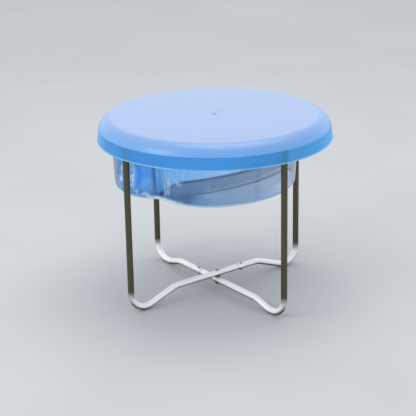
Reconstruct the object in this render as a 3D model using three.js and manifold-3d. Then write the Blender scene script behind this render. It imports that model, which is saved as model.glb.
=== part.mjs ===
// A round sand-and-water play table for children.
// A light-blue moulded lid covers a clear moulded tub with two basins. The tub rests on the four leg tops
// of a tubular metal stand: two crossing U-frames that pivot on one bolt where their base rails cross.
// Millimetres, +Z up. The origin is on the ground, under the pivot bolt.

import * as THREE from 'three';
import * as BufferGeometryUtils from 'three/addons/utils/BufferGeometryUtils.js';
import Module from 'manifold-3d';

const wasm = await Module();
wasm.setup();

const { degToRad, radToDeg, euclideanModulo, lerp } = THREE.MathUtils;

// Driving dimensions

const GAP = 0.3;
const MOULDING_SEGMENTS = 72;
const TURNED_SEGMENTS = 24;
const SHOULDER_STEPS = 8;
const CORNER_STEPS = 4;
const DOME_STEPS = 4;

const LID_RADIUS = 375;
const LID_SKIRT_Z = 521;
const LID_CREASE_Z = 560.5;
const LID_CREASE_RADIUS = 369;
const LID_TOP_Z = 594.5;
const LID_FLAT_RADIUS = 322;
const LID_WALL = 3;
const LID_BEAD = 2;
const SPRUE_RADIUS = 6;
const SPRUE_FOOT_RADIUS = 7;
const SPRUE_HEIGHT = 1.5;

const TUBE_RADIUS = 10;
const TUBE_WALL = 1.5;
const TUBE_SIDES = 12;
const BEND_STEP = degToRad(12);
const LEG_RADIUS = 341.5;
const FOOT_BEND_RADIUS = 55;
const LOW_BEND_RADIUS = 40;
const HIGH_BEND_RADIUS = 80;

const UPPER_FRAME = {
  name: 'upper_frame', azimuth: degToRad(225), railZ: 49, riseAngle: degToRad(20), riseStart: 277,
};
const LOWER_FRAME = {
  name: 'lower_frame', azimuth: degToRad(315), railZ: 27, riseAngle: degToRad(15), riseStart: 266,
};

const JOINT_START = 78;
const SWAGE_LENGTH = 6;
const SPIGOT_LENGTH = 42;
const SPIGOT_RADIUS = 8.1;
const JOINT_BOLT_S = 100;

const PIVOT_BOLT = { shank: 3, head: 7, headHeight: 4.5, nutAcross: 10, nutHeight: 5 };
const JOINT_BOLT = { shank: 2.5, head: 5.5, headHeight: 3.2, nutAcross: 8, nutHeight: 4 };
const WASHER_THICKNESS = 1.4;
const WASHER_RADIUS = 9;
const BOLT_TAIL = 1.5;
const BOLT_POINT = 0.6;

const TUB_FLOOR_Z = 376;
const TUB_DECK_Z = 567;
const TUB_WALL = 3;
const TUB_FLANGE_RADIUS = 362.4;
const TUB_FLANGE_LIP = 6;
const TUB_LOBE_RADIUS = 290;
const TUB_OFFSET = 34;
const TUB_OFFSET_AZIMUTH = degToRad(188.6);
const TUB_CORNER_RADIUS = 11;
const TUB_DRAFT = Math.tan(degToRad(3));

const PINCH_AZIMUTH = degToRad(237);
const PINCH_DEPTH = 43;
const PINCH_NARROW = degToRad(31);
const PINCH_WIDE = degToRad(50);

const RIDGE_CENTRE = new THREE.Vector2(-298, 319);
const RIDGE_RADIUS = 539;
const RIDGE_HEIGHT = 42;
const RIDGE_HALF_TOP = 8;
const RIDGE_HALF_FOOT = 14;
const RIDGE_SEGMENTS = 120;
const GROOVE_END = 14;

const CAP_HEAD = 3;
const CAP_STEM_LENGTH = 16;
const CAP_STEM_RADIUS = 7.9;
const CAP_CHAMFER = 1;

const SADDLE_WALL = 2.6;
const SADDLE_DEPTH = 18;
const SADDLE_CLEARANCE = 0.8;

const LEG_AZIMUTHS = [45, 135, 225, 315].map(degToRad);

// Solid helpers

function toSolid(geometry) {
  const bare = geometry.clone();
  bare.deleteAttribute('normal');
  bare.deleteAttribute('uv');
  const merged = BufferGeometryUtils.mergeVertices(bare, 1e-4);
  const mesh = new wasm.Mesh({
    numProp: 3,
    vertProperties: new Float32Array(merged.attributes.position.array),
    triVerts: new Uint32Array(merged.index.array),
  });
  return new wasm.Manifold(mesh);
}

function toGeometry(solid) {
  const mesh = solid.getMesh();
  const geometry = new THREE.BufferGeometry();
  geometry.setAttribute('position', new THREE.BufferAttribute(new Float32Array(mesh.vertProperties), 3));
  geometry.setIndex(new THREE.BufferAttribute(new Uint32Array(mesh.triVerts), 1));
  geometry.computeVertexNormals();
  return geometry;
}

// A LatheGeometry turned so that its axis is +Z. The profile's points are [radius, z], given upwards
// along the outside so that the faces point outwards.
function latheZ(profile, segments) {
  const points = profile.map(([radius, z]) => new THREE.Vector2(radius, z));
  return new THREE.LatheGeometry(points, segments).rotateX(Math.PI / 2);
}

function cylinderZ(radius, zLow, zHigh, sides = TUBE_SIDES) {
  const geometry = new THREE.CylinderGeometry(radius, radius, zHigh - zLow, sides);
  return geometry.rotateX(Math.PI / 2).translate(0, 0, (zLow + zHigh) / 2);
}

function polar(radius, azimuth) {
  return new THREE.Vector2(radius * Math.cos(azimuth), radius * Math.sin(azimuth));
}

function named(name, geometry, material) {
  const mesh = new THREE.Mesh(geometry, material.clone());
  mesh.name = name;
  return mesh;
}

// Materials

const lidPlastic = new THREE.MeshStandardMaterial({ color: 0x8fbcf2, roughness: 0.4, metalness: 0 });
const clearPlastic = new THREE.MeshStandardMaterial({
  color: 0xc4dcf4, roughness: 0.08, metalness: 0, transparent: true, opacity: 0.4, side: THREE.DoubleSide,
});
const zincTube = new THREE.MeshStandardMaterial({ color: 0xb9b9b6, roughness: 0.35, metalness: 1 });
const boltSteel = new THREE.MeshStandardMaterial({ color: 0xa8a8a8, roughness: 0.3, metalness: 1 });
const capPlastic = new THREE.MeshStandardMaterial({ color: 0x3a3c3f, roughness: 0.55, metalness: 0 });
const spacerPlastic = new THREE.MeshStandardMaterial({ color: 0x5d6a80, roughness: 0.5, metalness: 0 });

// Lid: a shallow dished cap with a drafted skirt, a sharp crease and a broad rounded shoulder

function shoulderArc(offset) {
  const run = LID_CREASE_RADIUS - LID_FLAT_RADIUS;
  const rise = LID_TOP_Z - LID_CREASE_Z;
  const radius = (run * run + rise * rise) / (2 * rise);
  const sweep = Math.asin(run / radius);
  const centreZ = LID_TOP_Z - radius;
  const points = [];
  for (let i = 0; i <= SHOULDER_STEPS; i += 1) {
    const angle = sweep * (1 - i / SHOULDER_STEPS);
    const r = radius - offset;
    points.push([LID_FLAT_RADIUS + r * Math.sin(angle), centreZ + r * Math.cos(angle)]);
  }
  return points;
}

function lidGeometry() {
  const outer = [
    [LID_RADIUS - LID_BEAD / 2, LID_SKIRT_Z],
    [LID_RADIUS, LID_SKIRT_Z + LID_BEAD],
    [LID_RADIUS - LID_BEAD / 2, LID_SKIRT_Z + 2 * LID_BEAD],
    ...shoulderArc(0),
    [SPRUE_FOOT_RADIUS, LID_TOP_Z],
    [SPRUE_RADIUS, LID_TOP_Z + SPRUE_HEIGHT],
    [0, LID_TOP_Z + SPRUE_HEIGHT],
  ];
  const inner = [
    ...shoulderArc(LID_WALL),
    [0, LID_TOP_Z - LID_WALL],
  ].reverse();
  const skirtInside = [LID_RADIUS - LID_BEAD / 2 - LID_WALL, LID_SKIRT_Z];
  return latheZ([...inner, skirtInside, ...outer], MOULDING_SEGMENTS);
}

// Tub: two basins under one deck. The plan is a circle set off-centre and pinched where the ridge
// between the basins meets the wall.

function pinch(azimuth) {
  const turn = 2 * Math.PI;
  const away = euclideanModulo(azimuth - PINCH_AZIMUTH + Math.PI, turn) - Math.PI;
  const reach = away < 0 ? PINCH_NARROW : PINCH_WIDE;
  const t = Math.min(Math.abs(away) / reach, 1);
  return PINCH_DEPTH * (1 - t) ** 2;
}

function wallRadius(azimuth) {
  const turned = azimuth - TUB_OFFSET_AZIMUTH;
  const across = TUB_OFFSET * Math.sin(turned);
  const circle = TUB_OFFSET * Math.cos(turned) + Math.sqrt(TUB_LOBE_RADIUS ** 2 - across ** 2);
  return circle - pinch(azimuth);
}

function scaleToPlan(geometry) {
  const position = geometry.attributes.position;
  for (let i = 0; i < position.count; i += 1) {
    const x = position.getX(i);
    const y = position.getY(i);
    const scale = wallRadius(Math.atan2(y, x)) / TUB_LOBE_RADIUS;
    position.setXY(i, x * scale, y * scale);
  }
  return geometry;
}

function basinSolid(inset, zTop) {
  const floorZ = TUB_FLOOR_Z + inset;
  const corner = TUB_CORNER_RADIUS - inset;
  const footRadius = TUB_LOBE_RADIUS - TUB_CORNER_RADIUS;
  const profile = [[0, floorZ]];
  for (let i = 0; i <= CORNER_STEPS; i += 1) {
    const angle = (Math.PI / 2) * (i / CORNER_STEPS);
    profile.push([footRadius + corner * Math.sin(angle), floorZ + corner * (1 - Math.cos(angle))]);
  }
  const wallTop = footRadius + corner + TUB_DRAFT * (zTop - floorZ - corner);
  profile.push([wallTop, zTop], [0, zTop]);
  return toSolid(scaleToPlan(latheZ(profile, MOULDING_SEGMENTS)));
}

function planCylinder(inset, zLow, zHigh) {
  const radius = TUB_LOBE_RADIUS - inset;
  const profile = [[0, zLow], [radius, zLow], [radius, zHigh], [0, zHigh]];
  return toSolid(scaleToPlan(latheZ(profile, MOULDING_SEGMENTS)));
}

// The ridge is a fold in the floor, so its underside is an open groove of the same section. The groove
// stops short of the tub's wall.
function ridgeRing(grow, zLow, zHigh) {
  const foot = RIDGE_HALF_FOOT + grow;
  const top = RIDGE_HALF_TOP + grow;
  const profile = [
    [RIDGE_RADIUS - foot, zLow],
    [RIDGE_RADIUS + foot, zLow],
    [RIDGE_RADIUS + top, zHigh],
    [RIDGE_RADIUS - top, zHigh],
    [RIDGE_RADIUS - foot, zLow],
  ];
  const ring = latheZ(profile, RIDGE_SEGMENTS).translate(RIDGE_CENTRE.x, RIDGE_CENTRE.y, 0);
  return toSolid(ring);
}

// The lip turned down at the flange's edge stiffens it.
function flangeSolid() {
  const underside = TUB_DECK_Z - TUB_WALL;
  const profile = [
    [0, underside],
    [TUB_FLANGE_RADIUS - TUB_WALL, underside],
    [TUB_FLANGE_RADIUS - TUB_WALL, TUB_DECK_Z - TUB_FLANGE_LIP],
    [TUB_FLANGE_RADIUS, TUB_DECK_Z - TUB_FLANGE_LIP],
    [TUB_FLANGE_RADIUS, TUB_DECK_Z],
    [0, TUB_DECK_Z],
  ];
  return toSolid(latheZ(profile, MOULDING_SEGMENTS));
}

// A saddle under the deck locates each leg top. It is open on its clockwise side, so that the lower
// frame's legs can swing out of it.
function saddleSolid(azimuth) {
  const bore = TUBE_RADIUS + SADDLE_CLEARANCE;
  const top = TUB_DECK_Z - TUB_WALL / 2;
  const bottom = TUB_DECK_Z - TUB_WALL - SADDLE_DEPTH;
  const deckUnderside = TUB_DECK_Z - TUB_WALL;
  const ring = toSolid(cylinderZ(bore + SADDLE_WALL, bottom, top, TURNED_SEGMENTS));
  const hole = toSolid(cylinderZ(bore, bottom - 1, deckUnderside, TURNED_SEGMENTS));
  const mouthLength = 2 * (bore + SADDLE_WALL);
  const mouthBox = new THREE.BoxGeometry(2 * bore, mouthLength, SADDLE_DEPTH + 1);
  mouthBox.translate(0, -mouthLength / 2, deckUnderside - (SADDLE_DEPTH + 1) / 2);
  const place = polar(LEG_RADIUS, azimuth);
  return ring
    .subtract(hole)
    .subtract(toSolid(mouthBox))
    .rotate([0, 0, radToDeg(azimuth)])
    .translate([place.x, place.y, 0]);
}

function tubGeometry() {
  const ridgeTop = TUB_FLOOR_Z + TUB_WALL + RIDGE_HEIGHT;
  const grooveRing = ridgeRing(0, TUB_FLOOR_Z - 1, ridgeTop - TUB_WALL);
  const groove = grooveRing.intersect(planCylinder(GROOVE_END, TUB_FLOOR_Z - 2, TUB_DECK_Z));
  const ridge = ridgeRing(TUB_WALL, TUB_FLOOR_Z, ridgeTop);
  const hollow = basinSolid(TUB_WALL, TUB_DECK_Z + 1).subtract(ridge);
  let tub = flangeSolid().add(basinSolid(0, TUB_DECK_Z - TUB_WALL / 2));
  for (const azimuth of LEG_AZIMUTHS) {
    tub = tub.add(saddleSolid(azimuth));
  }
  tub = tub.subtract(groove).subtract(hollow);
  return toGeometry(tub);
}

// Stand: each frame is a long and a short bent tube, joined beyond the pivot by a swaged spigot

class Bend extends THREE.Curve {
  constructor(centre, from, to, radius) {
    super();
    Object.assign(this, { centre, from, to, radius });
  }

  getPoint(t, target = new THREE.Vector3()) {
    const angle = lerp(this.from, this.to, t);
    return target.set(
      this.centre.x + this.radius * Math.cos(angle), 0, this.centre.y + this.radius * Math.sin(angle));
  }

  getTangent(t, target = new THREE.Vector3()) {
    const angle = lerp(this.from, this.to, t);
    const sense = Math.sign(this.to - this.from);
    return target.set(-Math.sin(angle) * sense, 0, Math.cos(angle) * sense);
  }
}

// A tube's centreline: straight runs and bends, each with its own number of steps.
class BentCentreline extends THREE.Curve {
  constructor(runs) {
    super();
    this.runs = runs;
    this.steps = runs.reduce((sum, run) => sum + run.steps, 0);
  }

  locate(t) {
    let along = t * this.steps;
    let index = 0;
    while (index < this.runs.length - 1 && along > this.runs[index].steps + 1e-9) {
      along -= this.runs[index].steps;
      index += 1;
    }
    const run = this.runs[index];
    return { curve: run.curve, t: Math.min(along / run.steps, 1) };
  }

  getPoint(t, target) {
    const place = this.locate(t);
    return place.curve.getPoint(place.t, target);
  }

  getPointAt(u, target) {
    return this.getPoint(u, target);
  }

  getTangentAt(u, target) {
    const place = this.locate(u);
    return place.curve.getTangent(place.t, target);
  }
}

// Rounds the corners of an open outline in the XZ plane. Each corner is { s, z, radius }.
function centreline(start, corners, stops) {
  const at = (point) => new THREE.Vector2(point.s, point.z);
  const runs = [];
  const addLine = (a, b) => {
    const curve = new THREE.LineCurve3(new THREE.Vector3(a.x, 0, a.y), new THREE.Vector3(b.x, 0, b.y));
    runs.push({ curve, steps: 1 });
  };
  let here = at(start);
  corners.forEach((corner, i) => {
    const vertex = at(corner);
    const next = at(i + 1 < corners.length ? corners[i + 1] : stops[0]);
    const into = vertex.clone().sub(here).normalize();
    const out = next.clone().sub(vertex).normalize();
    const turn = Math.atan2(into.cross(out), into.dot(out));
    const trim = corner.radius * Math.tan(Math.abs(turn) / 2);
    const bendStart = vertex.clone().addScaledVector(into, -trim);
    const bendEnd = vertex.clone().addScaledVector(out, trim);
    const side = new THREE.Vector2(-into.y, into.x).multiplyScalar(Math.sign(turn));
    const centre = bendStart.clone().addScaledVector(side, corner.radius);
    const from = Math.atan2(bendStart.y - centre.y, bendStart.x - centre.x);
    addLine(here, bendStart);
    const bend = new Bend(centre, from, from + turn, corner.radius);
    runs.push({ curve: bend, steps: Math.ceil(Math.abs(turn) / BEND_STEP) });
    here = bendEnd;
  });
  for (const stop of stops) {
    addLine(here, at(stop));
    here = at(stop);
  }
  return new BentCentreline(runs);
}

function ringShape(outer, inner) {
  const circle = (radius) => {
    const points = [];
    for (let i = 0; i < TUBE_SIDES; i += 1) {
      const angle = (2 * Math.PI * (i + 0.5)) / TUBE_SIDES;
      points.push(polar(radius / Math.cos(Math.PI / TUBE_SIDES), angle));
    }
    return points;
  };
  const shape = new THREE.Shape(circle(outer));
  shape.holes.push(new THREE.Path(circle(inner)));
  return shape;
}

function tubeAlong(path) {
  const shape = ringShape(TUBE_RADIUS, TUBE_RADIUS - TUBE_WALL);
  return new THREE.ExtrudeGeometry(shape, { steps: path.steps, bevelEnabled: false, extrudePath: path });
}

function legCorners({ railZ, riseAngle, riseStart }) {
  const riseRun = (railZ - TUBE_RADIUS) / Math.tan(riseAngle);
  return [
    { s: LEG_RADIUS, z: TUBE_RADIUS, radius: FOOT_BEND_RADIUS },
    { s: riseStart, z: TUBE_RADIUS, radius: LOW_BEND_RADIUS },
    { s: riseStart - riseRun, z: railZ, radius: HIGH_BEND_RADIUS },
  ];
}

function legTop() {
  return { s: LEG_RADIUS, z: TUB_DECK_Z - TUB_WALL - 2 * GAP - CAP_HEAD };
}

// The end beyond the joint is drawn down to fit inside the short tube.
function swageEnd(geometry, railZ) {
  const shrink = SPIGOT_RADIUS / TUBE_RADIUS;
  const position = geometry.attributes.position;
  for (let i = 0; i < position.count; i += 1) {
    if (position.getX(i) < -(JOINT_START + SWAGE_LENGTH / 2)) {
      position.setY(i, position.getY(i) * shrink);
      position.setZ(i, railZ + (position.getZ(i) - railZ) * shrink);
    }
  }
  return geometry;
}

function boltHole(s, railZ, shank) {
  return toSolid(cylinderZ(shank + GAP, railZ - 2 * TUBE_RADIUS, railZ + 2 * TUBE_RADIUS).translate(s, 0, 0));
}

function longTubeGeometry(frame) {
  const { railZ } = frame;
  const stops = [
    { s: -JOINT_START, z: railZ },
    { s: -JOINT_START - SWAGE_LENGTH, z: railZ },
    { s: -JOINT_START - SWAGE_LENGTH - SPIGOT_LENGTH, z: railZ },
  ];
  const path = centreline(legTop(), legCorners(frame), stops);
  const tube = toSolid(swageEnd(tubeAlong(path), railZ));
  const pivotHole = boltHole(0, railZ, PIVOT_BOLT.shank);
  const jointHole = boltHole(-JOINT_BOLT_S, railZ, JOINT_BOLT.shank);
  return toGeometry(tube.subtract(pivotHole).subtract(jointHole));
}

function shortTubeGeometry(frame) {
  const { railZ } = frame;
  const stops = [{ s: JOINT_START + SWAGE_LENGTH + GAP, z: railZ }];
  const path = centreline(legTop(), legCorners(frame), stops);
  const tube = toSolid(tubeAlong(path)).subtract(boltHole(JOINT_BOLT_S, railZ, JOINT_BOLT.shank));
  return toGeometry(tube).rotateZ(Math.PI);
}

// Fasteners

// The head is a spherical dome.
function boltGeometry({ shank, head, headHeight }, headZ, tailZ) {
  const radius = (head * head + headHeight * headHeight) / (2 * headHeight);
  const centreZ = headZ + headHeight - radius;
  const sweep = Math.asin(head / radius);
  const dome = [];
  for (let i = 0; i < DOME_STEPS; i += 1) {
    const angle = sweep * (1 - i / DOME_STEPS);
    dome.push([radius * Math.sin(angle), centreZ + radius * Math.cos(angle)]);
  }
  return latheZ([
    [0, tailZ],
    [shank - BOLT_POINT, tailZ],
    [shank, tailZ + BOLT_POINT],
    [shank, headZ],
    ...dome,
    [0, headZ + headHeight],
  ], TURNED_SEGMENTS);
}

function nutGeometry(bolt, zTop) {
  const hexagon = [];
  for (let i = 0; i < 6; i += 1) {
    hexagon.push(polar(bolt.nutAcross / 2 / Math.cos(Math.PI / 6), (i * Math.PI) / 3));
  }
  const shape = new THREE.Shape(hexagon);
  shape.holes.push(new THREE.Path().absarc(0, 0, bolt.shank + GAP, 0, 2 * Math.PI));
  const nut = new THREE.ExtrudeGeometry(shape, { depth: bolt.nutHeight, bevelEnabled: false, curveSegments: 8 });
  return nut.translate(0, 0, zTop - bolt.nutHeight);
}

function washerGeometry(radius, thickness, bore, zTop) {
  return latheZ([
    [bore, zTop - thickness],
    [radius, zTop - thickness],
    [radius, zTop],
    [bore, zTop],
    [bore, zTop - thickness],
  ], TURNED_SEGMENTS);
}

function capGeometry(tubeTop) {
  const headZ = tubeTop + GAP;
  return latheZ([
    [0, tubeTop - CAP_STEM_LENGTH],
    [CAP_STEM_RADIUS - CAP_CHAMFER, tubeTop - CAP_STEM_LENGTH],
    [CAP_STEM_RADIUS, tubeTop - CAP_STEM_LENGTH + CAP_CHAMFER],
    [CAP_STEM_RADIUS, headZ],
    [TUBE_RADIUS, headZ],
    [TUBE_RADIUS, headZ + CAP_HEAD - CAP_CHAMFER],
    [TUBE_RADIUS - CAP_CHAMFER, headZ + CAP_HEAD],
    [0, headZ + CAP_HEAD],
  ], TURNED_SEGMENTS);
}

// One U-frame, made along X: its long tube's leg is at +X and its short tube's leg at -X.
function frameGroup(frame) {
  const { name, railZ } = frame;
  const group = new THREE.Group();
  group.add(named(`${name}_long_tube`, longTubeGeometry(frame), zincTube));
  group.add(named(`${name}_short_tube`, shortTubeGeometry(frame), zincTube));

  const boltHead = railZ + TUBE_RADIUS + GAP;
  const nutTop = railZ - TUBE_RADIUS - GAP;
  const tail = nutTop - JOINT_BOLT.nutHeight - BOLT_TAIL;
  const jointBolt = named(`${name}_joint_bolt`, boltGeometry(JOINT_BOLT, boltHead, tail), boltSteel);
  const jointNut = named(`${name}_joint_nut`, nutGeometry(JOINT_BOLT, nutTop), boltSteel);
  for (const piece of [jointBolt, jointNut]) {
    piece.position.x = -JOINT_BOLT_S;
    group.add(piece);
  }

  for (const [end, side] of [['long', 1], ['short', -1]]) {
    const cap = named(`${name}_${end}_leg_cap`, capGeometry(legTop().z), capPlastic);
    cap.position.x = side * LEG_RADIUS;
    group.add(cap);
  }
  group.rotation.z = frame.azimuth;
  return group;
}

// The pivot bolt runs down through both rails, with a plastic spacer disc between them.
function pivotGroup() {
  const group = new THREE.Group();
  const headZ = UPPER_FRAME.railZ + TUBE_RADIUS + GAP;
  const spacerTop = UPPER_FRAME.railZ - TUBE_RADIUS - GAP;
  const spacerThickness = UPPER_FRAME.railZ - LOWER_FRAME.railZ - 2 * TUBE_RADIUS - 2 * GAP;
  const washerTop = LOWER_FRAME.railZ - TUBE_RADIUS - GAP;
  const nutTop = washerTop - WASHER_THICKNESS - GAP;
  const tail = nutTop - PIVOT_BOLT.nutHeight - BOLT_TAIL;
  const bore = PIVOT_BOLT.shank + GAP;
  const spacer = washerGeometry(TUBE_RADIUS, spacerThickness, bore, spacerTop);
  const washer = washerGeometry(WASHER_RADIUS, WASHER_THICKNESS, bore, washerTop);
  group.add(
    named('pivot_bolt', boltGeometry(PIVOT_BOLT, headZ, tail), boltSteel),
    named('pivot_spacer', spacer, spacerPlastic),
    named('pivot_washer', washer, boltSteel),
    named('pivot_nut', nutGeometry(PIVOT_BOLT, nutTop), boltSteel),
  );
  return group;
}

const table = new THREE.Group();

table.add(
  frameGroup(UPPER_FRAME),
  frameGroup(LOWER_FRAME),
  pivotGroup(),
  named('tub', tubGeometry(), clearPlastic),
  named('lid', lidGeometry(), lidPlastic),
);

export default table;
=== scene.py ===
import math

import bmesh
import bpy
from mathutils import Matrix, Vector


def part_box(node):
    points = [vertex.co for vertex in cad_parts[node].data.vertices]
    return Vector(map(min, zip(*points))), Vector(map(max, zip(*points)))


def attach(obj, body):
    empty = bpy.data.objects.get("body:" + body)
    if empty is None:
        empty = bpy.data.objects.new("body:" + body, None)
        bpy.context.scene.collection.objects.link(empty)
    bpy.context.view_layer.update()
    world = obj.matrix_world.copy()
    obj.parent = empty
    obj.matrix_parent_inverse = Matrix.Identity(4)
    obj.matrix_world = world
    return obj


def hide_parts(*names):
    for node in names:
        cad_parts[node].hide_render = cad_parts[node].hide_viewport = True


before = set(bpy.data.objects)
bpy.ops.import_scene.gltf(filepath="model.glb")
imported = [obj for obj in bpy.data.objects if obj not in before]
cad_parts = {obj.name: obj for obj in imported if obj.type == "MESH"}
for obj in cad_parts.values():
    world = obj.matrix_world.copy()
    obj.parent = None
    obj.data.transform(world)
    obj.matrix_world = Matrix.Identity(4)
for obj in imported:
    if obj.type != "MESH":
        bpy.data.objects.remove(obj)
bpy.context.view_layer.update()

MM = 0.001
FULL_TURN = 2 * math.pi
SHARP_DEGREES = 35
WELD_DISTANCE = 1e-7

# Camera: from a little right of the front and above, aimed at a point near the table's middle
CAMERA_DISTANCE = 4.197
CAMERA_AZIMUTH = math.radians(8.2)
CAMERA_ELEVATION = math.radians(19.45)
CAMERA_ROLL = math.radians(-1.05)
CAMERA_AIM = Vector((-0.026, -0.004, 0.277))
CAMERA_LENS = 111.76
CAMERA_REACH = 50

LIGHT_AIM = Vector((0, 0, 0.4))
FLOOR_HALF = 12

# Lid
LID_LOW, LID_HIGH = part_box("lid")
LID_WALL = 3 * MM
LID_FLAT_RADIUS = 322 * MM
LID_CREASE_RADIUS = 369 * MM
LID_CREASE_Z = 560.5 * MM
LID_BEAD = 1.7 * MM
LID_EDGE = 0.4 * MM
SPRUE_RADIUS = 6 * MM
SPRUE_HEIGHT = 1.5 * MM
SPRUE_RING_RADIUS = 34 * MM
LID_FLAT_Z = LID_HIGH.z - SPRUE_HEIGHT

# Stand. Each frame lies in its own upright plane, and s is the distance along its rail from the pivot.
TUBE_RADIUS = 10 * MM
TUBE_WALL = 1.5 * MM
LEG_RADIUS = 341.5 * MM
FOOT_BEND_RADIUS = 55 * MM
LOW_BEND_RADIUS = 40 * MM
HIGH_BEND_RADIUS = 80 * MM
TUBE_CHAMFER = 0.35 * MM
JOINT_START = 78 * MM
SWAGE_LENGTH = 6 * MM
SPIGOT_LENGTH = 42 * MM
SPIGOT_RADIUS = 8.1 * MM
JOINT_BOLT_S = 100 * MM
GAP = 0.3 * MM

# Tub: a round tub, off-centre, with a pinched waist and a ridge that is an arc seen from above
TUB_LOW, TUB_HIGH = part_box("tub")
TUB_WALL = 3 * MM
TUB_FLANGE_LIP = 6 * MM
TUB_LOBE_RADIUS = 290 * MM
TUB_OFFSET = 34 * MM
TUB_OFFSET_AZIMUTH = math.radians(188.6)
TUB_CORNER_RADIUS = 11 * MM
TUB_DRAFT = math.tan(math.radians(3))
PINCH_AZIMUTH = math.radians(237)
PINCH_DEPTH = 43 * MM
PINCH_NARROW = math.radians(31)
PINCH_WIDE = math.radians(50)
PINCH_SOFTNESS = 0.07
# The ridge's left end rises from the floor between these turns from the middle of the waist.
RIDGE_RAMP = (math.radians(-7), math.radians(6))
RIDGE_CENTRE = Vector((-298 * MM, 319 * MM))
RIDGE_RADIUS = 539 * MM
RIDGE_HEIGHT = 42 * MM
RIDGE_HALF_TOP = 8 * MM
RIDGE_HALF_FOOT = 14 * MM
RIDGE_FOOT_FILLET = 4 * MM
RIDGE_TOP_FILLET = 3.5 * MM
DECK_FILLET = 5 * MM
SADDLE_WALL = 2.6 * MM
SADDLE_DEPTH = 18 * MM
SADDLE_BORE = TUBE_RADIUS + 0.8 * MM
SADDLE_HALF_OPENING_DEGREES = 64
WAIST_GLARE_CENTRE = (-107 * MM, -209 * MM)

# Each rail rises from its feet at its own slope, and the upper frame's rail crosses over the lower one's.
FRAMES = [
    {"name": "upper_frame", "azimuth": math.radians(225), "rail_z": 49 * MM,
     "rise": math.radians(20), "rise_start": 277 * MM},
    {"name": "lower_frame", "azimuth": math.radians(315), "rail_z": 27 * MM,
     "rise": math.radians(15), "rise_start": 266 * MM},
]
LEG_AZIMUTHS = [math.radians(a) for a in (45, 135, 225, 315)]

# Fasteners and caps
PIVOT_BOLT = {"shank": 3 * MM, "head": 7 * MM, "dome": 4.5 * MM, "across": 10 * MM, "nut": 5 * MM}
JOINT_BOLT = {"shank": 2.5 * MM, "head": 5.5 * MM, "dome": 3.2 * MM, "across": 8 * MM, "nut": 4 * MM}
WASHER_THICKNESS = 1.4 * MM
WASHER_RADIUS = 9 * MM
BOLT_TAIL = 1.5 * MM
BOLT_EDGE = 0.5 * MM
THREAD_PITCH = 0.9 * MM
THREAD_LENGTH = 12 * MM
NUT_CHAMFER = 0.5 * MM
CAP_HEAD = 3 * MM
CAP_STEM_LENGTH = 16 * MM
CAP_STEM_RADIUS = 7.9 * MM
CAP_RIBS = 5
CAP_RIB_HEIGHT = 0.7 * MM


# Camera, floor and light

def make_camera():
    back = Vector((math.sin(CAMERA_AZIMUTH) * math.cos(CAMERA_ELEVATION),
                   -math.cos(CAMERA_AZIMUTH) * math.cos(CAMERA_ELEVATION),
                   math.sin(CAMERA_ELEVATION)))
    camera = bpy.data.objects.new("camera", bpy.data.cameras.new("camera"))
    bpy.context.scene.collection.objects.link(camera)
    camera.data.lens = CAMERA_LENS
    camera.data.clip_end = CAMERA_REACH
    camera.location = CAMERA_AIM + back * CAMERA_DISTANCE
    facing = (-back).to_track_quat("-Z", "Y").to_matrix().to_4x4()
    camera.rotation_euler = (facing @ Matrix.Rotation(CAMERA_ROLL, 4, "Z")).to_euler()
    bpy.context.scene.camera = camera


def make_floor():
    corners = [(FLOOR_HALF * x, FLOOR_HALF * y, 0) for x, y in ((-1, -1), (1, -1), (1, 1), (-1, 1))]
    mesh = bpy.data.meshes.new("floor")
    mesh.from_pydata(corners, [], [(0, 1, 2, 3)])
    floor = bpy.data.objects.new("floor", mesh)
    bpy.context.scene.collection.objects.link(floor)
    floor.data.materials.append(floor_material())


def make_light(name, location, size, power):
    """A round softbox turned to the table. Its size is its width in metres, and its power is in watts."""
    light = bpy.data.lights.new(name, "AREA")
    light.shape = "DISK"
    light.size = size
    light.energy = power
    lamp = bpy.data.objects.new(name, light)
    bpy.context.scene.collection.objects.link(lamp)
    lamp.location = location
    lamp.rotation_euler = (LIGHT_AIM - Vector(location)).to_track_quat("-Z", "Y").to_euler()


def make_world():
    world = bpy.data.worlds.new("studio")
    world.use_nodes = True
    background = world.node_tree.nodes["Background"]
    background.inputs["Color"].default_value = (0.93, 0.96, 1.0, 1)
    background.inputs["Strength"].default_value = 1.15
    bpy.context.scene.world = world


def make_studio():
    make_camera()
    make_floor()
    make_light("overhead_softbox", (0.3, 0.6, 3.4), 2.6, 40)
    make_light("back_softbox", (-0.8, 5.5, 2.7), 3.6, 10)
    make_light("key_softbox", (-2.6, -2.2, 2.6), 1.8, 34)
    make_world()
    bpy.context.scene.view_settings.view_transform = "Standard"


# Material helpers

# A colour mix takes its factor and its two colours at these inputs, and gives its result at this output.
MIX_FACTOR, MIX_A, MIX_B, MIX_RESULT = 0, 6, 7, 2


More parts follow.
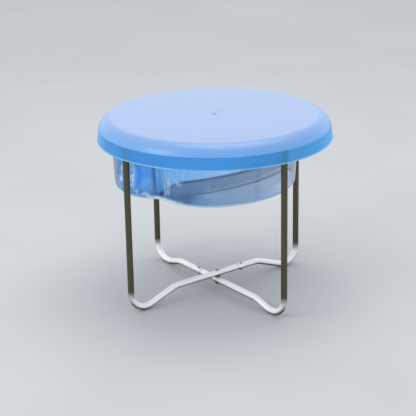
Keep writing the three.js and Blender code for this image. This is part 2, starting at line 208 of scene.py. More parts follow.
class Shader:
    """A Principled material, with short calls for the nodes that feed it."""

    def __init__(self, name):
        self.material = bpy.data.materials.new(name)
        self.material.use_nodes = True
        self.nodes = self.material.node_tree.nodes
        self.links = self.material.node_tree.links
        self.bsdf = self.nodes["Principled BSDF"]
        self.coords = self.nodes.new("ShaderNodeTexCoord").outputs["Object"]

    def set(self, **values):
        """Sets constants. An underscore in a name stands for a space in the input's name."""
        for name, value in values.items():
            self.bsdf.inputs[name.replace("_", " ")].default_value = value

    def scaled(self, scale):
        mapping = self.nodes.new("ShaderNodeMapping")
        mapping.inputs["Scale"].default_value = scale
        self.links.new(self.coords, mapping.inputs["Vector"])
        return mapping.outputs["Vector"]

    def noise(self, scale, detail=4.0, roughness=0.55, vector=None, distortion=0.0):
        node = self.nodes.new("ShaderNodeTexNoise")
        node.inputs["Scale"].default_value = scale
        node.inputs["Detail"].default_value = detail
        node.inputs["Roughness"].default_value = roughness
        node.inputs["Distortion"].default_value = distortion
        self.links.new(vector or self.coords, node.inputs["Vector"])
        return node.outputs["Fac"]

    def axis(self, letter, vector=None):
        node = self.nodes.new("ShaderNodeSeparateXYZ")
        self.links.new(vector or self.coords, node.inputs["Vector"])
        return node.outputs[letter]

    def height(self):
        return self.axis("Z")

    def up(self):
        """How far the surface faces up, from -1 to 1."""
        return self.axis("Z", self.nodes.new("ShaderNodeNewGeometry").outputs["Normal"])

    def plan_distance(self, x, y):
        """The distance from an upright line, seen from above."""
        node = self.nodes.new("ShaderNodeVectorMath")
        node.operation = "DISTANCE"
        node.inputs[1].default_value = (x, y, 0)
        self.links.new(self.scaled((1, 1, 0)), node.inputs[0])
        return node.outputs["Value"]

    def combine(self, operation, a, b):
        node = self.nodes.new("ShaderNodeMath")
        node.operation = operation
        self.links.new(a, node.inputs[0])
        self.links.new(b, node.inputs[1])
        return node.outputs["Value"]

    def product(self, factors):
        result = factors[0]
        for factor in factors[1:]:
            result = self.combine("MULTIPLY", result, factor)
        return result

    def ramp(self, factor, stops):
        node = self.nodes.new("ShaderNodeValToRGB")
        elements = node.color_ramp.elements
        while len(elements) < len(stops):
            elements.new(0.5)
        for element, (position, colour) in zip(elements, stops):
            element.position = position
            element.color = colour
        self.links.new(factor, node.inputs["Fac"])
        return node.outputs["Color"]

    def remap(self, value, from_min, from_max, to_min, to_max):
        node = self.nodes.new("ShaderNodeMapRange")
        node.inputs["From Min"].default_value = from_min
        node.inputs["From Max"].default_value = from_max
        node.inputs["To Min"].default_value = to_min
        node.inputs["To Max"].default_value = to_max
        self.links.new(value, node.inputs["Value"])
        return node.outputs["Result"]

    def rise(self, value, start, stop):
        """A mask that goes from 0 to 1 as the value goes from start to stop."""
        return self.remap(value, start, stop, 0.0, 1.0)

    def fall(self, value, start, stop):
        """A mask that goes from 1 to 0 as the value goes from start to stop."""
        return self.remap(value, start, stop, 1.0, 0.0)

    def blend(self, mask, off, on):
        """A number that is off where the mask is 0, and on where the mask is 1."""
        return self.remap(mask, 0.0, 1.0, off, on)

    def mix(self, factor, a, b, blend="MIX"):
        node = self.nodes.new("ShaderNodeMix")
        node.data_type = "RGBA"
        node.blend_type = blend
        for index, value in ((MIX_FACTOR, factor), (MIX_A, a), (MIX_B, b)):
            socket = node.inputs[index]
            if isinstance(value, bpy.types.NodeSocket):
                self.links.new(value, socket)
            else:
                socket.default_value = value
        return node.outputs[MIX_RESULT]

    def feed(self, name, output):
        self.links.new(output, self.bsdf.inputs[name])

    def bump(self, height, strength, distance):
        """Adds fine relief on top of any that the material already has."""
        node = self.nodes.new("ShaderNodeBump")
        node.inputs["Strength"].default_value = strength
        node.inputs["Distance"].default_value = distance
        self.links.new(height, node.inputs["Height"])
        previous = self.bsdf.inputs["Normal"].links
        if previous:
            self.links.new(previous[0].from_socket, node.inputs["Normal"])
        self.links.new(node.outputs["Normal"], self.bsdf.inputs["Normal"])


def rgb(red, green, blue):
    return (red, green, blue, 1.0)


WHITE = rgb(1.0, 1.0, 1.0)


def floor_material():
    shader = Shader("studio_floor")
    shader.set(Roughness=0.8, Specular_IOR_Level=0.2)
    tone = shader.ramp(shader.noise(1.4, 3), [(0.3, rgb(0.44, 0.45, 0.46)), (0.7, rgb(0.47, 0.48, 0.49))])
    shader.feed("Base Color", tone)
    return shader.material


def lid_material():
    """Translucent blue moulded plastic, painted by height with light and shade: a clear deep blue skirt, a
    graded shoulder and a greyer, more opaque top stand in for how light passes through and reflects off each
    part, and a paler lip is a painted highlight on its bead.
    """
    shader = Shader("lid_blue_plastic")
    shader.set(IOR=1.5)
    height = shader.height()
    above_crease = shader.rise(height, LID_CREASE_Z - 0.5 * MM, LID_CREASE_Z + 1 * MM)
    up_shoulder = shader.rise(height, LID_CREASE_Z, LID_CREASE_Z + 26 * MM)
    on_flat = shader.rise(height, LID_FLAT_Z - 1.5 * MM, LID_FLAT_Z - 0.1 * MM)
    on_lip = shader.fall(height, LID_LOW.z + 2 * MM, LID_LOW.z + 4 * MM)

    # Painted light and shade: the one plastic gets a deep blue on the skirt, a graded shade on the shoulder,
    # a greyer blue on the top, and a paler painted highlight on the lip.
    skirt_blue = rgb(0.10, 0.51, 1.0)
    lip_highlight_blue = rgb(0.30, 0.68, 1.0)
    flat_blue = rgb(0.235, 0.345, 0.58)
    shoulder_shade_blue = shader.mix(up_shoulder, rgb(0.15, 0.42, 0.84), rgb(0.185, 0.34, 0.64))
    colour = shader.mix(above_crease, skirt_blue, shoulder_shade_blue)
    colour = shader.mix(on_lip, colour, lip_highlight_blue)
    colour = shader.mix(on_flat, colour, flat_blue)
    mottle = shader.ramp(shader.noise(3.0, 3), [(0.3, rgb(0.96, 0.97, 0.98)), (0.7, WHITE)])
    shader.feed("Base Color", shader.mix(1.0, colour, mottle, "MULTIPLY"))

    # Painted shade: the lid is made less clear towards its ends on X, so the left and right of the skirt show
    # its deeper blue as seen from the front.
    x = shader.axis("X")
    towards_ends = shader.remap(shader.product([x, x]), (300 * MM) ** 2, (360 * MM) ** 2, 1.0, 0.4)
    clear = [shader.blend(above_crease, 0.70, 0.20), towards_ends, shader.blend(on_lip, 1.0, 0.4)]
    shader.feed("Transmission Weight", shader.product(clear))
    shader.feed("Specular IOR Level", shader.blend(above_crease, 0.12, 0.5))
    scuffs = shader.noise(22, 5, 0.6)
    shader.feed("Roughness", shader.remap(scuffs, 0.3, 0.75, 0.29, 0.33))
    shader.bump(shader.noise(9, 2), 0.10, 1 * MM)
    return shader.material


def ridge_sheen_mask(shader, height):
    """Where the ridge gets a painted sheen: its faces from its foot to its crest, apart from its left end."""
    from_centre = shader.plan_distance(*RIDGE_CENTRE)
    reach = RIDGE_HALF_FOOT + TUB_WALL
    crest = TUB_LOW.z + TUB_WALL + RIDGE_HEIGHT
    return shader.product([
        shader.rise(height, TUB_LOW.z + 6 * MM, TUB_LOW.z + 9 * MM),
        shader.fall(height, crest + 1 * MM, crest + 2 * MM),
        shader.rise(from_centre, RIDGE_RADIUS - reach, RIDGE_RADIUS - reach + 1 * MM),
        shader.fall(from_centre, RIDGE_RADIUS + reach - 1 * MM, RIDGE_RADIUS + reach),
        shader.rise(shader.axis("X"), -165 * MM, -120 * MM),
    ])


def corner_highlight_mask(shader, height):
    """Where a painted highlight runs: the rounded corner at the foot of the wall, without the flat floor
    beside it.
    """
    facing = shader.up()
    return shader.product([
        shader.fall(height, TUB_LOW.z + 4 * MM, TUB_LOW.z + 12 * MM),
        shader.rise(facing, -0.97, -0.8),
        shader.fall(facing, 0.8, 0.97),
    ])


def waist_glare_mask(shader, height):
    """Where a painted glare sits: a patch low on the wall, at the waist."""
    return shader.product([
        shader.fall(shader.plan_distance(*WAIST_GLARE_CENTRE), 50 * MM, 85 * MM),
        shader.fall(height, TUB_LOW.z + 9 * MM, TUB_LOW.z + 18 * MM),
    ])


def tub_material():
    """Clear glossy plastic, tinted blue, painted a deeper blue towards the left as a painted reflection of
    the lid. Its front left is duller, with painted blue reflection mottling and thin painted highlight lines.
    The ridge, the bottom corner and a patch by the waist are paler and less clear: a painted sheen, a painted
    highlight and a painted glare."""
    shader = Shader("clear_tub_plastic")
    shader.set(IOR=1.46)
    height = shader.height()
    rightwards = shader.rise(shader.axis("X"), -260 * MM, 180 * MM)
    at_front = shader.fall(shader.axis("Y"), -150 * MM, -30 * MM)
    # The front left zone: rougher, and carrying painted reflection mottling and painted highlight lines.
    glint_and_haze_zone = shader.product([at_front, shader.fall(rightwards, 0.0, 0.9)])
    flow = shader.noise(9, 3, 0.5, shader.scaled((1, 1, 0.45)), 2.0)
    # Painted highlights: thin curved pale lines taken from a narrow band of a noise.
    highlight_streak = shader.product([shader.rise(flow, 0.51, 0.54), shader.fall(flow, 0.54, 0.57), glint_and_haze_zone])

    # Painted reflection: the colour deepens to a stronger blue towards the left, standing in for the blue lid
    # reflected in the tub there.
    tint_and_reflection = shader.mix(rightwards, rgb(0.33, 0.64, 0.96), rgb(0.70, 0.80, 0.93))
    # Painted reflection: darker blue mottling in the front left zone.
    blue_reflection_mottle = shader.ramp(flow, [(0.38, rgb(0.55, 0.76, 0.95)), (0.46, WHITE)])
    colour = shader.mix(glint_and_haze_zone, tint_and_reflection, shader.mix(1.0, tint_and_reflection, blue_reflection_mottle, "MULTIPLY"))
    clear = []
    for mask, pale, clearness in (
        (highlight_streak, rgb(0.85, 0.95, 1.0), 0.4),
        # Painted sheen: the ridge is paler and less clear.
        (ridge_sheen_mask(shader, height), rgb(0.92, 0.95, 1.0), 0.70),
        # Painted glare: a pale, less clear patch at the waist.
        (waist_glare_mask(shader, height), rgb(0.72, 0.90, 1.0), 0.3),
        # Painted highlight: a pale, less clear line along the bottom corner.
        (corner_highlight_mask(shader, height), rgb(0.62, 0.87, 1.0), 0.25),
    ):
        colour = shader.mix(mask, colour, pale)
        clear.append(shader.blend(mask, 1.0, clearness))
    shader.feed("Base Color", colour)
    shader.feed("Transmission Weight", shader.product(clear))

    haze = shader.remap(shader.noise(40, 5, 0.65), 0.4, 0.8, 0.05, 0.12)
    shader.feed("Roughness", shader.combine("MAXIMUM", haze, shader.blend(glint_and_haze_zone, 0.0, 0.2)))
    shader.bump(shader.noise(14, 2), 0.35, 1.5 * MM)
    return shader.material


def tube_material():
    """Zinc-plated steel, painted with light and shade: the upward faces of the rails get a pale tone with
    small dark specks and less metal, as if lit from above. The legs and undersides get a dark tone, a painted
    shadow.
    """
    shader = Shader("satin_steel_tube")
    # Painted light: the upward faces low down or inside the feet are the lit faces; everything else takes the
    # painted shade.
    low = shader.fall(shader.height(), 45 * MM, 75 * MM)
    inside_feet = shader.fall(shader.plan_distance(0, 0), 280 * MM, 310 * MM)
    upward = shader.rise(shader.up(), -0.55, -0.1)
    lit_faces = shader.product([shader.combine("MAXIMUM", low, inside_feet), upward])

    spots = shader.noise(160, 5, 0.7)
    lit_tone = shader.ramp(spots, [(0.30, rgb(0.30, 0.26, 0.24)), (0.38, rgb(0.90, 0.87, 0.88)),
                                 (0.7, rgb(0.97, 0.94, 0.96))])
    shade_tone = shader.ramp(spots, [(0.35, rgb(0.092, 0.084, 0.052)), (0.7, rgb(0.135, 0.126, 0.085))])
    shader.feed("Base Color", shader.mix(lit_faces, shade_tone, lit_tone))
    shader.feed("Metallic", shader.blend(lit_faces, 1.0, 0.4))
    rubbed = shader.remap(shader.noise(70, 6, 0.7), 0.3, 0.75, 0.32, 0.48)
    shader.feed("Roughness", shader.combine("MAXIMUM", rubbed, shader.blend(lit_faces, 0.0, 0.58)))
    shader.bump(shader.noise(420, 3), 0.12, 0.3 * MM)
    return shader.material


def steel_material():
    """Bright zinc-plated steel, for the bolts, nuts and washer."""
    shader = Shader("bright_zinc_bolt")
    shader.set(Metallic=1.0)
    tone = shader.ramp(shader.noise(300, 4), [(0.3, rgb(0.36, 0.35, 0.34)), (0.7, rgb(0.52, 0.51, 0.50))])
    shader.feed("Base Color", tone)
    shader.feed("Roughness", shader.remap(shader.noise(260, 5), 0.3, 0.7, 0.22, 0.42))
    shader.bump(shader.noise(700, 3), 0.15, 0.2 * MM)
    return shader.material


def moulded_material(name, dark, light):
    """Matt plastic for the small moulded pieces, mottled between two tones."""
    shader = Shader(name)
    shader.feed("Base Color", shader.ramp(shader.noise(220, 4), [(0.3, dark), (0.7, light)]))
    shader.feed("Roughness", shader.remap(shader.noise(340, 4), 0.3, 0.7, 0.45, 0.62))
    shader.bump(shader.noise(1200, 3), 0.2, 0.2 * MM)
    return shader.material


# Mesh helpers

def make_object(name, vertices, faces, material, sharp_degrees=SHARP_DEGREES):
    """A smooth-shaded piece whose edges are sharp where its faces turn by more than the given angle."""
    mesh = bpy.data.meshes.new(name)
    mesh.from_pydata(vertices, [], faces)
    mesh.validate()
    bm = bmesh.new()
    bm.from_mesh(mesh)
    bmesh.ops.remove_doubles(bm, verts=bm.verts, dist=WELD_DISTANCE)
    bmesh.ops.recalc_face_normals(bm, faces=bm.faces)
    for face in bm.faces:
        face.smooth = True
    for edge in bm.edges:
        if len(edge.link_faces) == 2 and edge.calc_face_angle() > math.radians(sharp_degrees):
            edge.smooth = False
    bm.to_mesh(mesh)
    bm.free()
    piece = bpy.data.objects.new(name, mesh)
    bpy.context.scene.collection.objects.link(piece)
    piece.data.materials.append(material)
    return piece


def revolve(name, column, material, segments, closed=False, sharp_degrees=SHARP_DEGREES):
    """A solid turned about Z. column(angle) is its section at that angle, a list of (radius, z). A closed
    section is a loop. An open one starts and ends on the axis."""
    vertices = []
    for i in range(segments):
        angle = FULL_TURN * i / segments
        section = column(angle)
        vertices += [(r * math.cos(angle), r * math.sin(angle), z) for r, z in section]
    rows = len(section)
    faces = []
    for i in range(segments):
        near, far = i * rows, (i + 1) % segments * rows
        for k in range(rows if closed else rows - 1):
            above = (k + 1) % rows
            faces.append([near + k, far + k, far + above, near + above])
    return make_object(name, vertices, faces, material, sharp_degrees)


def turned(name, profile, material, segments, closed=False, sharp_degrees=SHARP_DEGREES):
    """A round solid, with the same profile at every angle."""
    return revolve(name, lambda angle: profile, material, segments, closed, sharp_degrees)


def rounded(outline):
    """Stations (point, heading) along an open outline whose corners are (x, y, radius, steps)."""
    points = [Vector(corner[:2]) for corner in outline]
    stations = []
    for i, (x, y, radius, steps) in enumerate(outline):
        here = points[i]
        into = (here - points[i - 1]).normalized() if i else (points[1] - here).normalized()
        out = (points[i + 1] - here).normalized() if i + 1 < len(points) else into
        heading = math.atan2(into.y, into.x)
        if not radius:
            stations.append((here, heading))
            continue
        turn = math.atan2(into.x * out.y - into.y * out.x, into.dot(out))
        trim = radius * math.tan(abs(turn) / 2)
        side = Vector((-into.y, into.x)) * math.copysign(1, turn)
        centre = here - into * trim + side * radius
        for k in range(steps + 1):
            swept = turn * k / steps
            spoke = -side * radius
            spoke.rotate(Matrix.Rotation(swept, 2))
            stations.append((centre + spoke, heading + swept))
    return stations


def arc(centre, radius, start, stop, steps):
    """Points on an arc. Its angles are in degrees, from the first axis towards the second."""
    points = []
    for i in range(steps + 1):
        angle = math.radians(start + (stop - start) * i / steps)
        points.append((centre[0] + radius * math.cos(angle), centre[1] + radius * math.sin(angle)))
    return points


def spread(start, stop, steps):
    """Evenly spaced values, with both ends."""
    return [start + (stop - start) * i / steps for i in range(steps + 1)]


def line(start, end, steps):
    """Evenly spaced points, with both ends."""
    return list(zip(spread(start[0], end[0], steps), spread(start[1], end[1], steps)))


def turn_in_place(piece, azimuth, shift=0.0):
    """Moves a mesh out along X, and then turns it about the table's axis."""
    piece.data.transform(Matrix.Rotation(azimuth, 4, "Z") @ Matrix.Translation((shift, 0, 0)))


def finish_piece(piece, body, node):
    """Puts a piece in the place of one of the part's nodes."""
    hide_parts(node)
    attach(piece, body)


# Lid

def sprue_mark(top):
    """The moulding mark at the middle of the top: a ring groove round a nub that stands in a shallow dish."""
    groove = top - 0.35 * MM
    dish = top - 0.8 * MM
    nub = top + SPRUE_HEIGHT
    nub_edge = 0.9 * MM
    mark = [(SPRUE_RING_RADIUS + 3 * MM, top), (SPRUE_RING_RADIUS + 1 * MM, groove),
            (SPRUE_RING_RADIUS - 1 * MM, groove), (SPRUE_RING_RADIUS - 3 * MM, top)]
    mark += [(SPRUE_RADIUS + 5 * MM, top), (SPRUE_RADIUS + 1.5 * MM, dish), (SPRUE_RADIUS, dish)]
    mark += arc((SPRUE_RADIUS - nub_edge, nub - nub_edge), nub_edge, 0, 90, 4)
    return mark + [(SPRUE_RADIUS * 0.4, nub - 0.2 * MM), (0, nub - 0.3 * MM)]


def lid_profile(rim, bottom, top):
    """The shell's section, from the middle of its underside out to the rim and back over the top."""
    rise = top - LID_CREASE_Z
    run = LID_CREASE_RADIUS - LID_FLAT_RADIUS
    radius = (run ** 2 + rise ** 2) / (2 * rise)
    low_angle = 90 - math.degrees(math.asin(run / radius))
    centre = (LID_FLAT_RADIUS, top - radius)
    flat_edge = LID_FLAT_RADIUS - 10 * MM
    under = top - LID_WALL

    inner = [(0, under)] + line((20 * MM, under), (flat_edge, under), 14)
    inner += arc(centre, radius - LID_WALL, 90, low_angle, 28)
    lip = (rim - LID_BEAD - LID_WALL, bottom + LID_BEAD)
    inner += line((LID_CREASE_RADIUS - LID_WALL, LID_CREASE_Z - LID_WALL / 2), lip, 8)
    inner.append((lip[0] + LID_EDGE, bottom + LID_EDGE))

    skirt_foot = (rim - 1.4 * MM, bottom + 3.6 * MM)
    skirt_top = (LID_CREASE_RADIUS + LID_EDGE * 0.15, LID_CREASE_Z - LID_EDGE)
    outer = arc((rim - LID_BEAD, bottom + LID_BEAD), LID_BEAD, -90, 50, 8)
    outer += line(skirt_foot, skirt_top, 10)
    outer += arc(centre, radius, low_angle, 90, 32)
    mark = sprue_mark(top)
    outer += line((flat_edge, top), mark[0], 14)
    return inner + outer + mark[1:]


def make_lid(material):
    profile = lid_profile(LID_HIGH.x, LID_LOW.z, LID_FLAT_Z)
    lid = turned("lid_shell", profile, material, 360, sharp_degrees=50)
    finish_piece(lid, "lid", "lid")


# Tub

def from_pinch(azimuth):
    """The turn from the middle of the waist, from -pi to pi."""
    return (azimuth - PINCH_AZIMUTH + math.pi) % FULL_TURN - math.pi


def pinch(azimuth):
    """How far the waist takes the wall in. It is deepest at its middle, and steeper on its left side."""
    away = from_pinch(azimuth)
    reach = PINCH_NARROW if away < 0 else PINCH_WIDE
    t = min(abs(away) / reach, 1)
    soft = math.hypot(t, PINCH_SOFTNESS) - PINCH_SOFTNESS
    return PINCH_DEPTH * (1 - min(soft / (1 - PINCH_SOFTNESS), 1)) ** 2


def wall_radius(azimuth):
    """The wall's distance from the table's axis, where it meets the bottom corner."""
    away = azimuth - TUB_OFFSET_AZIMUTH
    across = TUB_OFFSET * math.sin(away)
    circle = TUB_OFFSET * math.cos(away) + math.sqrt(TUB_LOBE_RADIUS ** 2 - across ** 2)
    return circle - pinch(azimuth)


def ridge_section(grow):
    """The ridge's rounded outline as (distance from its middle line, height), from back to front."""
    foot = RIDGE_HALF_FOOT + grow
    top = RIDGE_HALF_TOP + grow
    foot_fillet = RIDGE_FOOT_FILLET + TUB_WALL - grow
    top_fillet = RIDGE_TOP_FILLET + grow
    verge = foot + foot_fillet
    outline = [(-verge, 0, 0, 0), (-foot, 0, foot_fillet, 6), (-top, RIDGE_HEIGHT, top_fillet, 6),
               (top, RIDGE_HEIGHT, top_fillet, 6), (foot, 0, foot_fillet, 6), (verge, 0, 0, 0)]
    return [tuple(point) for point, heading in rounded(outline)]


def section_height(section, distance):
    """The section's height at a distance from its middle line, and 0 beyond its feet."""
    for (d0, h0), (d1, h1) in zip(section, section[1:]):
        if d0 <= distance <= d1:
            return h0 + (h1 - h0) * (distance - d0) / (d1 - d0)
    return 0.0


def ridge_distance(radius, azimuth):
    """How far a point of the floor is from the ridge's middle line, positive towards the front."""
    x = radius * math.cos(azimuth) - RIDGE_CENTRE.x
    y = radius * math.sin(azimuth) - RIDGE_CENTRE.y
    return math.hypot(x, y) - RIDGE_RADIUS


def ridge_crossing(azimuth, distance):
    """How far out a ray from the axis meets the line at this distance from the ridge's middle line."""
    along = RIDGE_CENTRE.x * math.cos(azimuth) + RIDGE_CENTRE.y * math.sin(azimuth)
    return along + math.sqrt(along ** 2 - RIDGE_CENTRE.length_squared + (RIDGE_RADIUS + distance) ** 2)


def floor_radii(azimuth, section, edge):
    """Radii for a floor's rows. They gather on the ridge's section, and none passes the floor's edge."""
    crossings = [min(ridge_crossing(azimuth, distance), edge) for distance, height in section]
    return spread(0, crossings[0], 24)[:-1] + crossings + spread(crossings[-1], edge, 12)[1:]


def ease(value, start, stop):
    """0 up to the start and 1 from the stop, with a smooth rise between."""
    t = min(max((value - start) / (stop - start), 0.0), 1.0)
    return t * t * (3 - 2 * t)


def floor_underside(azimuth, wall, floor_z, fade):
    """The floor's lower rows. The hollow under the ridge closes before it meets the wall."""
    section = ridge_section(0)
    rows = []
    for radius in floor_radii(azimuth, section, wall - TUB_CORNER_RADIUS):
        lift = fade * section_height(section, ridge_distance(radius, azimuth))
        rows.append((radius, floor_z + lift * ease(wall - radius, 16 * MM, 34 * MM)))
    return rows


def flange_lip(flange, deck_z):
    """The flange's turned-down lip, from its inner face round its foot and up to the deck."""
    half = TUB_WALL / 2
    foot = arc((flange - half, deck_z - TUB_FLANGE_LIP + half), half, -180, 0, 8)
    return foot + arc((flange - half, deck_z - half), half, 0, 90, 4)


def tub_column(azimuth, floor_z, deck_z, flange):
    """The shell's section at one azimuth: out along its underside, round the flange and back inside."""
    wall = wall_radius(azimuth)
    edge = wall - TUB_CORNER_RADIUS
    corner_z = floor_z + TUB_CORNER_RADIUS
    fade = ease(from_pinch(azimuth), *RIDGE_RAMP)

    def wall_reach(z):
        return wall + TUB_DRAFT * (z - corner_z)

    underside = deck_z - TUB_WALL
    wall_top = underside - DECK_FILLET
    rows = floor_underside(azimuth, wall, floor_z, fade)
    rows += arc((edge, corner_z), TUB_CORNER_RADIUS, -90, 0, 8)[1:]
    rows += [(wall_reach(z), z) for z in spread(corner_z, wall_top, 14)[1:]]
    rows += arc((wall_reach(wall_top) + DECK_FILLET, wall_top), DECK_FILLET, 180, 90, 5)[1:]
    rows += [(r, underside) for r in spread(rows[-1][0], flange - TUB_WALL, 4)[1:]]
    rows += flange_lip(flange, deck_z)

    fillet = DECK_FILLET + TUB_WALL
    fillet_z = deck_z - fillet
    deck_edge = wall_reach(fillet_z) - TUB_WALL + fillet
    rows += [(r, deck_z) for r in spread(rows[-1][0], deck_edge, 4)[1:]]

    section = ridge_section(TUB_WALL)
    inner_z = floor_z + TUB_WALL
    inner = arc((deck_edge, fillet_z), fillet, 90, 180, 6)[1:]
    inner += [(wall_reach(z) - TUB_WALL, z) for z in spread(fillet_z, corner_z, 24)[1:]]
    inner += arc((edge, corner_z), TUB_CORNER_RADIUS - TUB_WALL, 0, -90, 10)[1:]
    inner += [(radius, inner_z) for radius in reversed(floor_radii(azimuth, section, edge))]
    for radius, z in inner:
        crest = inner_z + fade * section_height(section, ridge_distance(radius, azimuth))
        rows.append((radius, max(z, crest)))
    return rows


def make_tub(material):
    def column(azimuth):
        return tub_column(azimuth, TUB_LOW.z, TUB_HIGH.z, TUB_HIGH.x)

    tub = revolve("tub_shell", column, material, 480, sharp_degrees=60)
    finish_piece(tub, "tub", "tub")
    for number, azimuth in enumerate(LEG_AZIMUTHS, 1):
        make_saddle(number, azimuth, TUB_HIGH.z - TUB_WALL, material)


def make_saddle(number, azimuth, top_z, material):
    """A C-shaped boss under the deck that locates one leg top, open on its clockwise side."""
    steps = 36
    start = -90 + SADDLE_HALF_OPENING_DEGREES
    stop = 270 - SADDLE_HALF_OPENING_DEGREES
    outline = arc((LEG_RADIUS, 0), SADDLE_BORE + SADDLE_WALL, start, stop, steps)
    outline += arc((LEG_RADIUS, 0), SADDLE_BORE, stop, start, steps)
    vertices = [(x, y, z) for z in (top_z - SADDLE_DEPTH, top_z) for x, y in outline]
    count = len(outline)
    faces = [[i, (i + 1) % count, count + (i + 1) % count, count + i] for i in range(count)]
    for base in (0, count):
        for i in range(steps):
            faces.append([base + i, base + i + 1, base + count - 2 - i, base + count - 1 - i])
    saddle = make_object(f"tub_leg_saddle_{number}", vertices, faces, material)
    turn_in_place(saddle, azimuth)
    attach(saddle, "tub")


# Stand

def leg_path(spec, top_z, stops):
    """Stations down a leg, round its bends and along the rail, in the frame's own plane."""
    rail_z = spec["rail_z"]
    run = (rail_z - TUBE_RADIUS) / math.tan(spec["rise"])
    outline = [
        (LEG_RADIUS, top_z, 0, 0),
        (LEG_RADIUS, TUBE_RADIUS, FOOT_BEND_RADIUS, 28),
        (spec["rise_start"], TUBE_RADIUS, LOW_BEND_RADIUS, 10),
        (spec["rise_start"] - run, rail_z, HIGH_BEND_RADIUS, 12),
    ]
    return rounded(outline + [(s, rail_z, 0, 0) for s in stops])


def sweep_tube(name, stations, radii, material, sides=48):
    """A hollow tube through the stations, with its own outer radius at each, and slightly broken ends."""
    def ring(index, radius, shift=0.0):
        """A circle across the tube at a station, moved along the tube by the shift."""
        (s, z), heading = stations[index]
        s += math.cos(heading) * shift
        z += math.sin(heading) * shift
        points = []
        for k in range(sides):
            angle = FULL_TURN * k / sides
            lateral = radius * math.cos(angle)
            lift = radius * math.sin(angle)
            points.append((s - math.sin(heading) * lift, lateral, z + math.cos(heading) * lift))
        return points

    last = len(stations) - 1
    inner = [r - TUBE_WALL for r in radii]
    rings = [ring(0, radii[0] - TUBE_CHAMFER), ring(0, radii[0], TUBE_CHAMFER)]
    rings += [ring(i, radii[i]) for i in range(1, last)]
    rings += [ring(last, radii[last], -TUBE_CHAMFER), ring(last, radii[last] - TUBE_CHAMFER)]
    rings += [ring(last, inner[last] + TUBE_CHAMFER), ring(last, inner[last], -TUBE_CHAMFER)]
    rings += [ring(i, inner[i]) for i in range(last - 1, 0, -1)]
    rings += [ring(0, inner[0], TUBE_CHAMFER), ring(0, inner[0] + TUBE_CHAMFER)]
    vertices = [point for r in rings for point in r]
    faces = []
    for a in range(len(rings)):
        b = (a + 1) % len(rings)
        for k in range(sides):
            m = (k + 1) % sides
            faces.append([a * sides + k, a * sides + m, b * sides + m, b * sides + k])
    return make_object(name, vertices, faces, material)


def cut_hole(piece, s, z, radius):
    """Cuts a bolt hole straight down through a tube."""
    reach = 2 * TUBE_RADIUS
    profile = [(0, z - reach), (radius, z - reach), (radius, z + reach), (0, z + reach)]
    cutter = turned("cutter", profile, piece.data.materials[0], 32)
    cutter.location.x = s
    modifier = piece.modifiers.new("hole", "BOOLEAN")
    modifier.operation = "DIFFERENCE"
    modifier.solver = "EXACT"
    modifier.object = cutter
    bpy.context.view_layer.update()
    evaluated = piece.evaluated_get(bpy.context.evaluated_depsgraph_get())
    mesh = bpy.data.meshes.new_from_object(evaluated)
    piece.modifiers.clear()
    piece.data = mesh
    bpy.data.objects.remove(cutter)


def make_long_tube(spec, top_z, material):
    """A leg and its rail past the pivot, with a swaged spigot on the rail's end."""
    name = spec["name"]
    spigot_start = -JOINT_START - SWAGE_LENGTH
    stops = [60 * MM, -JOINT_START, spigot_start, spigot_start - SPIGOT_LENGTH]
    stations = leg_path(spec, top_z, stops)
    radii = [TUBE_RADIUS] * (len(stations) - 2) + [SPIGOT_RADIUS] * 2
    tube = sweep_tube(f"{name}_long_bent_tube", stations, radii, material)
    cut_hole(tube, 0, spec["rail_z"], PIVOT_BOLT["shank"] + GAP)
    cut_hole(tube, -JOINT_BOLT_S, spec["rail_z"], JOINT_BOLT["shank"] + GAP)
    turn_in_place(tube, spec["azimuth"])
    finish_piece(tube, name, f"{name}_long_tube")


def make_short_tube(spec, top_z, material):
    """The opposite leg and the end of the rail, which takes the spigot."""
    name = spec["name"]
    stations = leg_path(spec, top_z, [130 * MM, JOINT_START + SWAGE_LENGTH + GAP])
    radii = [TUBE_RADIUS] * len(stations)
    tube = sweep_tube(f"{name}_short_bent_tube", stations, radii, material)
    cut_hole(tube, JOINT_BOLT_S, spec["rail_z"], JOINT_BOLT["shank"] + GAP)
    turn_in_place(tube, spec["azimuth"] + math.pi)
    finish_piece(tube, name, f"{name}_short_tube")


def make_frame(spec, materials):
    """One frame of the stand: two tubes, the bolt and nut that hold them together, and the leg caps."""
    name = spec["name"]
    top_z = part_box(f"{name}_long_tube")[1].z
    make_long_tube(spec, top_z, materials["tube"])
    make_short_tube(spec, top_z, materials["tube"])

    head_z = spec["rail_z"] + TUBE_RADIUS + GAP
    nut_top = spec["rail_z"] - TUBE_RADIUS - GAP
    tail_z = nut_top - JOINT_BOLT["nut"] - BOLT_TAIL
    bolt = make_bolt(f"{name}_joint_dome_bolt", JOINT_BOLT, head_z, tail_z, materials["steel"])
    nut = make_nut(f"{name}_joint_hex_nut", JOINT_BOLT, nut_top, materials["steel"])
    for piece, node in ((bolt, "joint_bolt"), (nut, "joint_nut")):
        turn_in_place(piece, spec["azimuth"], -JOINT_BOLT_S)
        finish_piece(piece, name, f"{name}_{node}")

    for end, side in (("long", 1), ("short", -1)):
        cap = make_cap(f"{name}_{end}_leg_plug", top_z, materials["cap"])
        turn_in_place(cap, spec["azimuth"], side * LEG_RADIUS)
        finish_piece(cap, name, f"{name}_{end}_leg_cap")


# Fasteners

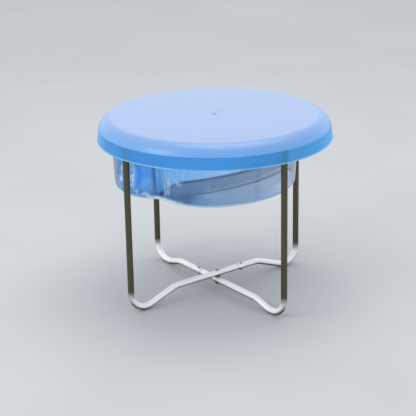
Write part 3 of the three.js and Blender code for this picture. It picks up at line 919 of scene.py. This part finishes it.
def make_bolt(name, size, head_z, tail_z, material):
    """A domed bolt with a rolled thread on its lower end."""
    shank, head, dome = size["shank"], size["head"], size["dome"]
    crown = dome - BOLT_EDGE
    radius = (head ** 2 + crown ** 2) / (2 * crown)
    thread_low = tail_z + BOLT_EDGE
    profile = [(0, tail_z), (shank * 0.72, tail_z), (shank * 0.9, thread_low)]
    z = thread_low
    while z < tail_z + THREAD_LENGTH:
        profile += [(shank * 0.86, z), (shank, z + THREAD_PITCH / 2)]
        z += THREAD_PITCH
    profile += [(shank, z), (shank, head_z), (head - 0.3 * MM, head_z), (head, head_z + BOLT_EDGE / 2)]
    half = math.degrees(math.asin(head / radius))
    profile += arc((0, head_z + dome - radius), radius, 90 - half, 90, 12)[:-1]
    profile.append((0, head_z + dome))
    return turned(name, profile, material, 48)


def make_nut(name, size, top_z, material):
    """A hexagon nut with chamfered corners on both faces and a countersunk bore."""
    apothem = size["across"] / 2
    corner = apothem / math.cos(math.pi / 6)
    land = apothem * 0.95
    bore = size["shank"] + GAP
    low = top_z - size["nut"]
    profile = [(bore, low + NUT_CHAMFER), (bore + NUT_CHAMFER, low), (land, low), (corner, low + NUT_CHAMFER),
               (corner, top_z - NUT_CHAMFER), (land, top_z), (bore + NUT_CHAMFER, top_z),
               (bore, top_z - NUT_CHAMFER)]

    def column(angle):
        sector = (angle + math.pi / 6) % (math.pi / 3) - math.pi / 6
        flat = apothem / math.cos(sector)
        return [(min(radius, flat), z) for radius, z in profile]

    return revolve(name, column, material, 72, closed=True, sharp_degrees=25)


def make_washer(name, radius, thickness, top_z, material):
    """A flat ring round the pivot bolt, with broken edges."""
    bore = PIVOT_BOLT["shank"] + GAP
    low = top_z - thickness
    edge = min(0.35 * MM, thickness * 0.3)
    profile = [(bore, low + edge), (bore + edge, low), (radius - edge, low), (radius, low + edge),
               (radius, top_z - edge), (radius - edge, top_z), (bore + edge, top_z), (bore, top_z - edge)]
    return turned(name, profile, material, 64, closed=True)


def make_cap(name, tube_top, material):
    """A plug with a crowned head and ribs round its stem."""
    head_z = tube_top + GAP
    stem_low = tube_top - CAP_STEM_LENGTH
    root = CAP_STEM_RADIUS - CAP_RIB_HEIGHT
    pitch = (CAP_STEM_LENGTH - 3 * MM) / CAP_RIBS
    profile = [(0, stem_low), (root - 0.5 * MM, stem_low)]
    for i in range(CAP_RIBS):
        z = stem_low + 1 * MM + i * pitch
        profile += [(root, z), (CAP_STEM_RADIUS, z + pitch * 0.6), (root, z + pitch * 0.7)]
    profile += [(root, head_z), (TUBE_RADIUS - 0.3 * MM, head_z)]
    profile += arc((TUBE_RADIUS - 1 * MM, head_z + CAP_HEAD - 1 * MM), 1 * MM, 0, 90, 5)
    profile.append((0, head_z + CAP_HEAD))
    return turned(name, profile, material, 48)


def make_pivot(materials):
    """The bolt through both rails, with the spacer between them and the washer and nut below."""
    upper, lower = (spec["rail_z"] for spec in FRAMES)
    head_z = upper + TUBE_RADIUS + GAP
    spacer_top = upper - TUBE_RADIUS - GAP
    spacer_thickness = upper - lower - 2 * TUBE_RADIUS - 2 * GAP
    washer_top = lower - TUBE_RADIUS - GAP
    nut_top = washer_top - WASHER_THICKNESS - GAP
    tail_z = nut_top - PIVOT_BOLT["nut"] - BOLT_TAIL
    steel = materials["steel"]
    made = [
        (make_bolt("pivot_dome_bolt", PIVOT_BOLT, head_z, tail_z, steel), "bolt_steel", "pivot_bolt"),
        (make_nut("pivot_hex_nut", PIVOT_BOLT, nut_top, steel), "bolt_steel", "pivot_nut"),
        (make_washer("pivot_flat_washer", WASHER_RADIUS, WASHER_THICKNESS, washer_top, steel),
         "bolt_steel", "pivot_washer"),
        (make_washer("pivot_spacer_disc", TUBE_RADIUS, spacer_thickness, spacer_top, materials["spacer"]),
         "spacer_plastic", "pivot_spacer"),
    ]
    for piece, slot, node in made:
        finish_piece(piece, "upper_frame", node)


make_studio()
MATERIALS = {
    "tube": tube_material(),
    "steel": steel_material(),
    "cap": moulded_material("dark_cap_plastic", rgb(0.028, 0.029, 0.032), rgb(0.045, 0.046, 0.05)),
    "spacer": moulded_material("blue_grey_spacer_plastic", rgb(0.10, 0.14, 0.22), rgb(0.14, 0.19, 0.29)),
}
for spec in FRAMES:
    make_frame(spec, MATERIALS)
make_pivot(MATERIALS)
make_tub(tub_material())
make_lid(lid_material())
